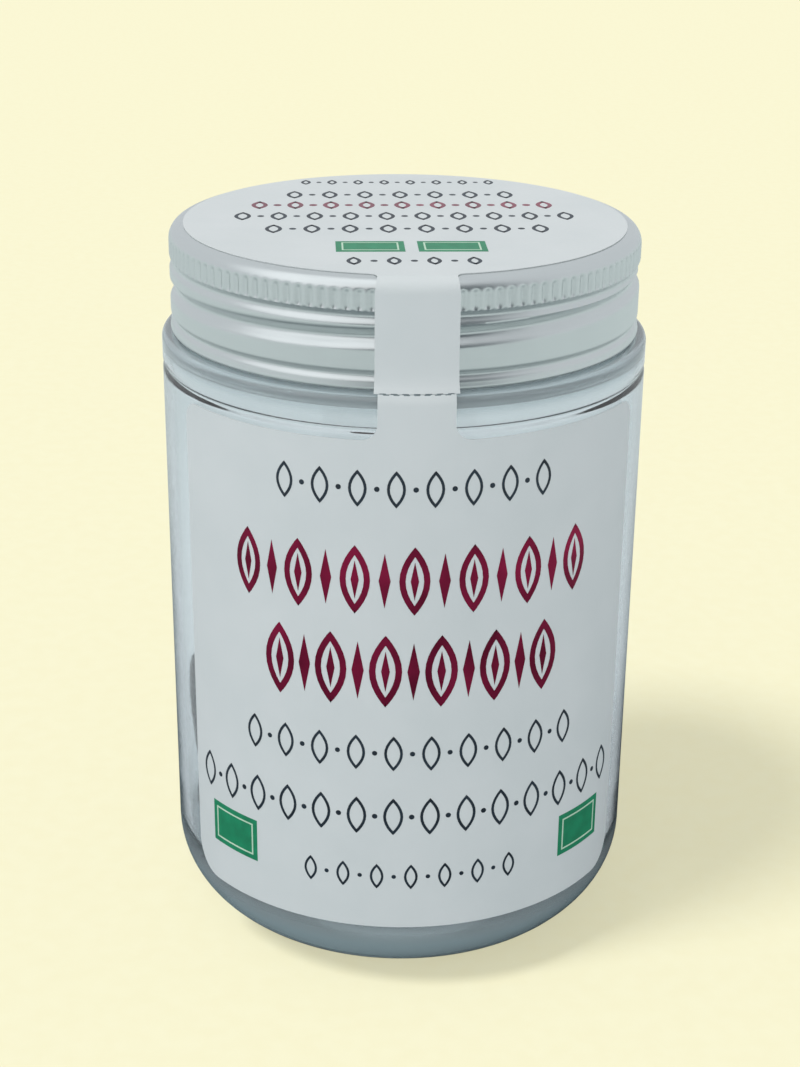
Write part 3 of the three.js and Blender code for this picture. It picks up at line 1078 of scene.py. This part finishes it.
@dataclass
class TopLabel(Label):
    """The round label on the cap and its strip, which runs down over the cap's side to the perforation."""

    cap: Cap = field(default_factory=Cap)
    disc: float = 27.9
    fillet: float = 1.2

    @property
    def level(self) -> float:
        """The height of the paper's upper face."""
        return self.cap.top + LABEL_GAP + self.paper

    def section(self) -> list[Point]:
        """Draws the strip's path in the (radius, z) plane.

        Returns:
            The points from the middle of the top to the perforation.
        """
        middle = self.cap.radius - self.cap.corner
        size = self.cap.corner + LABEL_GAP + self.paper
        height = self.cap.top - self.cap.corner
        side = middle + size
        return [
            (0, self.level),
            *arc((middle, height), size, 90, 0, 10),
            (side, 84.6),
            (side + 0.06, 83.4),
            (side + 0.2, 82.5),
            (side + 0.42, 81.9),
            (30.58, self.perforation),
        ]

    def along(self, distance: float) -> tuple[float, float, Point]:
        """A point of the strip's path.

        Args:
            distance: how far along the path it lies from the middle of the top.

        Returns:
            Its radius, its height and the path's outward direction there.
        """
        path = self.section()
        left = max(0.0, distance)
        for (r0, z0), (r1, z1) in zip(path, path[1:]):
            length = math.hypot(r1 - r0, z1 - z0)
            if left <= length or (r1, z1) == path[-1]:
                share = left / length
                outwards = (-(z1 - z0) / length, (r1 - r0) / length)
                return r0 + share * (r1 - r0), z0 + share * (z1 - z0), outwards
            left -= length
        return path[-1][0], path[-1][1], (1.0, 0.0)

    def length(self) -> float:
        """The length of the strip's path."""
        path = self.section()
        return sum(math.dist(a, b) for a, b in zip(path, path[1:]))

    def place(self, point: Vector, lift: float) -> Vector:
        """Where a flat point lies: on the disc, round the corner or down the side.

        Args:
            point: the flat point, the disc's middle at the origin and the strip along -Y.
            lift: how far above the paper's face it lies.

        Returns:
            The point in place.
        """
        distance = -point.y
        middle = self.cap.radius - self.cap.corner
        if distance < middle:
            return Vector((point.x, point.y, self.level + lift))
        radius, z, (out, up) = self.along(distance)
        turned = min(1.0, (distance - middle) / (self.cap.corner * math.pi / 2))
        flat = Vector((point.x, -radius - lift * out, z + lift * up))
        round_side = polar(radius + lift * out, math.degrees(point.x / middle), z + lift * up)
        return flat.lerp(round_side, turned)

    def outline(self) -> list[Point]:
        """Draws the flat outline of the disc and the strip.

        Returns:
            The points in order.
        """
        corner = math.degrees(math.asin((self.strip + self.fillet) / self.disc))
        edge = self.disc * math.cos(math.radians(corner))
        right = [
            *arc((self.strip + self.fillet, -edge - self.fillet), self.fillet, 180, 90, 6),
            *arc((0, 0), self.disc, corner - 90, 90, 90)[1:],
        ]
        left = [(-u, v) for u, v in reversed(right[:-1])]
        return [*reversed(self.torn_edge(-self.length(), 1)), *right, *left]

    def rows(self) -> list[Row]:
        """Lists the rows of ornaments.

        Returns:
            The rows, from the back of the disc to the front.
        """
        fine = (Motif.DROP, Motif.DOT)
        return [
            Row("navy", 22.3, 2.8, 25, fine, 15, 0.36),
            Row("navy", 14.3, 4.4, 28, fine, 13, 0.46),
            Row("foil", 8.0, 4.4, 37, fine, 17, 0.55),
            Row("navy", 1.6, 4.4, 41, fine, 19, 0.46),
            Row("navy", -5.4, 4.4, 33, fine, 15, 0.46),
            Row("navy", -21.6, 3.6, 14, fine, 7, 0.44),
        ]

    def build(self) -> None:
        """Makes the paper, cut where the strip's path bends, and its print."""
        starts = [self.cap.radius - self.cap.corner]
        for a, b in zip(self.section()[1:], self.section()[2:]):
            starts.append(starts[-1] + math.dist(a, b))
        patches = [(side * 4.9, -14.6, 8.2, 5.2) for side in (-1, 1)]
        self.lay("top", Body.CAP, [-s for s in starts[:-1]], patches)


@dataclass
class Bean:
    """One tonka bean: a blunt, bent, flattened pod of leather skin, shrunk into lengthwise wrinkles."""

    node: str
    blunt: float = 0.72
    wrinkle: float = 0.42
    crease: float = 0.16
    around: int = 72
    along: int = 60
    rounds: int = 60

    def pose(self) -> tuple[Matrix, float, float, float, float]:
        """Reads the bean's place and sizes from its CAD solid.

        Returns:
            Its turn and place, half length, half width, half thickness and bend, in millimetres.
        """
        points = [v.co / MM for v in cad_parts[self.node].data.vertices]
        unique = {tuple(round(c, 3) for c in p): p for p in points}
        cloud = list(unique.values())
        middle = sum(cloud, Vector()) / len(cloud)
        off = [p - middle for p in cloud]
        matrix = Matrix([[sum(p[i] * p[j] for p in off) for j in range(3)] for i in range(3)])
        axis = Vector((1, 1, 1)).normalized()
        for _ in range(self.rounds):
            axis = (matrix @ axis).normalized()
        flat = matrix - matrix @ Matrix([[axis[i] * axis[j] for j in range(3)] for i in range(3)])
        side = axis.orthogonal().normalized()
        for _ in range(self.rounds):
            side = (flat @ side).normalized()
            side = (side - axis * side.dot(axis)).normalized()
        up = axis.cross(side)
        local = [Vector((p.dot(axis), p.dot(side), p.dot(up))) for p in off]
        centre, half = span(p.x for p in local)
        waist = [p for p in local if abs(p.x - centre) < 0.35 * half]
        tips = [p for p in local if abs(p.x - centre) > 0.99 * half]
        mid_y, wide = span(p.y for p in waist)
        mid_z, thick = span(p.z for p in waist)
        tip_y = sum(p.y for p in tips) / len(tips)
        origin = middle + axis * centre + side * mid_y + up * mid_z
        turn = Matrix((axis, side, up)).transposed().to_4x4()
        return Matrix.Translation(origin) @ turn, half, wide, thick, tip_y - mid_y

    def depth(self, share: float, angle: float, seed: float) -> tuple[float, float]:
        """How deep the skin is drawn in at a place on it.

        Args:
            share: the place along the bean, from -1 to 1.
            angle: the angle around it.
            seed: a number that makes each bean's wrinkles its own.

        Returns:
            The wrinkles' depth in millimetres, and their share of the deepest.
        """
        turn = Vector((math.cos(angle), math.sin(angle), 0))
        wander = 0.35 * noise.noise(turn * 1.2 + Vector((0, 0, share * 2.2 + seed)))
        bent = Vector((math.cos(angle + wander), math.sin(angle + wander), 0))
        long_folds = 1 - abs(noise.noise(bent * 3.1 + Vector((0, 0, share * 1.5 + seed)))) * 3.4
        short_folds = 1 - abs(noise.noise(bent * 6.5 + Vector((0, 0, share * 5.5 + seed * 2)))) * 3.2
        cross = 1 - abs(noise.noise(bent * 4.0 + Vector((0, 0, share * 13 + seed * 3)))) * 3.0
        folds = max(0.0, long_folds) ** 2
        creases = max(0.0, short_folds) ** 2 * 0.7 + max(0.0, cross) ** 2 * 0.3
        deep = self.wrinkle * folds + self.crease * creases
        return deep, min(1.0, deep / (self.wrinkle + 0.5 * self.crease))

    def build(self, material: bpy.types.Material, seed: float) -> Piece:
        """Shapes a ball into the bean in its place and dresses it.

        Args:
            material: the skin.
            seed: what makes this bean's wrinkles its own.

        Returns:
            The bean's object.
        """
        pose, half, wide, thick, hook = self.pose()
        mesh = bmesh.new()
        bmesh.ops.create_uvsphere(mesh, u_segments=self.around, v_segments=self.along, radius=1)
        layer = mesh.verts.layers.float.new("furrow_shade")
        for vert in mesh.verts:
            share = max(-1.0, min(1.0, vert.co.z))
            ring = vert.co.xy.length
            angle = math.atan2(vert.co.y, vert.co.x)
            taper = ring**self.blunt if ring > 1e-6 else 0.0
            deep, shade = self.depth(share, angle, seed)
            near_tip = min(1.0, taper * 1.6)
            y = taper * wide * math.cos(angle)
            z = taper * thick * math.sin(angle)
            shrink = 1 - deep * near_tip / max(0.5, math.hypot(y, z)) if ring > 1e-6 else 1
            # the wrinkle depth share, which paints shade into the furrows
            vert[layer] = shade
            vert.co = pose @ Vector((share * half, y * shrink + hook * share * share, z * shrink))
        bmesh.ops.recalc_face_normals(mesh, faces=mesh.faces)
        return finished(f"{self.node}_skin", mesh, material, Body.JAR, [self.node], sharp=180)


@dataclass
class Studio:
    """A pale floor, soft lamps and the photograph's camera."""

    floor_size: float = 8
    weave_mm: float = 3
    floor_colour: str = "#f8f5d2"
    floor_shade: str = "#f8f4cf"
    lit_colour: str = "#a29f89"
    lit_shade: str = "#a09d87"
    behind_colour: str = "#faf7d4"
    unseen_colour: str = "#7c8183"
    # painted shadow: glossy surfaces see the floor this dark close to the jar
    painted_near_shade: str = "#323b3f"
    far_colour: str = "#838988"
    # painted light: seen through the plastic, the floor glows pale blue-grey, brighter near the jar
    painted_glow_near: str = "#dbe5ea"
    painted_glow_far: str = "#c3cfd3"
    under_glow: float = 0.85
    sky_colour: str = "#eef2f6"
    sky: float = 0.78
    cards: tuple[tuple[Vector, dict], ...] = (
        (Vector((0.12, -0.93, 0.34)), {0.66: "#ffffff", 0.93: "#505b61"}),
        (Vector((-0.44, -0.39, 0.81)), {0.6: "#ffffff", 0.85: "#a9aeb1"}),
    )
    glow: float = 0.62
    floor_set: bpy.types.Collection | None = None
    lens: float = 63.7246
    sensor: float = 36
    distance: float = 235.55
    height: float = 147.99
    turned: float = 2.9
    pitch: float = 22.225
    roll: float = 0.598

    def floor(self) -> None:
        """A large plane. The camera sees it pale yellow, and it throws neutral light on the jar. Glossy
        surfaces see it with a painted shadow near the jar, and through the plastic it glows pale blue-grey as
        painted light.
        """
        mesh = bmesh.new()
        bmesh.ops.create_grid(mesh, x_segments=8, y_segments=8, size=self.floor_size / 2)
        data = bpy.data.meshes.new("floor")
        mesh.to_mesh(data)
        mesh.free()
        material, nodes = blank("pale floor")
        rays = nodes.add("ShaderNodeLightPath").outputs
        weave = nodes.cloud(self.weave_mm, 4)
        away = nodes.add("ShaderNodeVectorMath", {0: nodes.place}, operation="LENGTH").outputs["Value"]
        lit = nodes.ramp(weave, {0.35: self.lit_shade, 0.65: self.lit_colour})
        tone = nodes.ramp(weave, {0.35: self.floor_shade, 0.65: self.floor_colour})
        # painted shadow: the floor that glossy surfaces mirror turns dark within about 0.2 m of the jar's
        # axis
        reflected_painted_shade = nodes.ramp(away, {0.05: self.painted_near_shade, 0.2: self.far_colour})
        bounced = nodes.blend(nodes.mirrored(), linear(self.unseen_colour), reflected_painted_shade)
        # painted light: the floor glows for rays that come through the plastic, brightest close to the jar
        shone = nodes.ramp(away, {0.11: self.painted_glow_near, 0.21: self.painted_glow_far})
        paper, unseen = (nodes.add("ShaderNodeBsdfDiffuse", {"Color": colour}) for colour in (lit, bounced))
        glow, under = (nodes.add("ShaderNodeEmission", {"Color": colour}) for colour in (tone, shone))
        through = nodes.maths("MULTIPLY", rays["Is Transmission Ray"], self.under_glow)
        below = nodes.either(through, unseen, under)
        nodes.show(nodes.either(rays["Is Camera Ray"], below, nodes.either(self.glow, paper, glow)))
        data.materials.append(material)
        floor = bpy.data.objects.new("floor", data)
        self.floor_set = bpy.data.collections.new("floor")
        bpy.context.scene.collection.children.link(self.floor_set)
        self.floor_set.objects.link(floor)

    def sun(self, name: str, turn: float, rise: float, power: float, blur: float) -> Piece:
        """Adds a large soft lamp, far enough away to light the floor evenly.

        Args:
            name: the lamp's name.
            turn: the direction it shines from, in degrees from the front towards +X.
            rise: its height above the horizon in degrees.
            power: its strength.
            blur: its width as seen from the jar, in degrees.

        Returns:
            The lamp.
        """
        data = bpy.data.lights.new(name, "SUN")
        data.energy = power
        data.angle = math.radians(blur)
        lamp = bpy.data.objects.new(name, data)
        lamp.rotation_euler = Euler((math.radians(90 - rise), 0, math.radians(turn)))
        bpy.context.scene.collection.objects.link(lamp)
        return lamp

    def lights(self) -> None:
        """A wide soft key from the front left, a lamp for the floor's shadow, and a pale surround."""
        self.sun("key", -48, 54, 1.08, 80)
        low = self.sun("floor_key", -63, 62, 6.7, 14)
        low.light_linking.receiver_collection = self.floor_set
        world = bpy.data.worlds.new("surround")
        bpy.context.scene.world = world
        world.use_nodes = True
        nodes = Nodes(world.node_tree)
        rays = nodes.add("ShaderNodeLightPath").outputs
        dim = linear(self.sky_colour)
        for towards, stops in self.cards:
            inputs = {0: nodes.coordinates["Generated"], 1: towards.normalized()}
            across = nodes.add("ShaderNodeVectorMath", inputs, operation="DOT_PRODUCT").outputs["Value"]
            dim = nodes.blend(1.0, dim, nodes.ramp(across, stops), way="MULTIPLY")
        around = nodes.blend(nodes.mirrored(), linear(self.sky_colour), dim)
        sky = nodes.add("ShaderNodeBackground", {"Color": around, "Strength": self.sky})
        behind = nodes.add("ShaderNodeBackground", {"Color": linear(self.behind_colour)})
        nodes.show(nodes.either(rays["Is Camera Ray"], sky, behind), "ShaderNodeOutputWorld")

    def camera(self) -> None:
        """Places the camera where the photograph was taken from."""
        data = bpy.data.cameras.new("camera")
        data.lens = self.lens
        data.sensor_width = self.sensor
        data.clip_start = 0.01
        camera = bpy.data.objects.new("camera", data)
        turn, down, roll = (math.radians(a) for a in (self.turned, self.pitch, self.roll))
        forward = Vector((math.cos(down) * math.sin(turn), math.cos(down) * math.cos(turn), -math.sin(down)))
        right = Vector((math.cos(turn), -math.sin(turn), 0))
        up = right.cross(forward)
        across = right * math.cos(roll) + up * math.sin(roll)
        upright = up * math.cos(roll) - right * math.sin(roll)
        place = polar(self.distance, -self.turned - 0.06, self.height) * MM
        axes = Matrix((across, upright, -forward)).transposed().to_4x4()
        camera.matrix_world = Matrix.Translation(place) @ axes
        bpy.context.scene.collection.objects.link(camera)
        bpy.context.scene.camera = camera

    def build(self) -> None:
        """Sets up the floor, the lamps and the camera."""
        self.floor()
        self.lights()
        self.camera()
        bpy.context.scene.view_settings.view_transform = "Standard"


def main() -> None:
    """Builds the jar from the inside out, then the studio."""
    beans = sorted(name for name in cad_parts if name.startswith("bean_"))
    skin = BeanSkin().material()
    for number, node in enumerate(beans):
        Bean(node).build(skin, seed=7.3 * (number + 1))
    jar = Jar()
    jar.build()
    FrontLabel(jar=jar).build()
    cap = Cap()
    cap.build()
    Liner().build()
    TopLabel(cap=cap).build()
    Studio().build()
    bpy.context.view_layer.update()


if __name__ == "__main__":
    main()
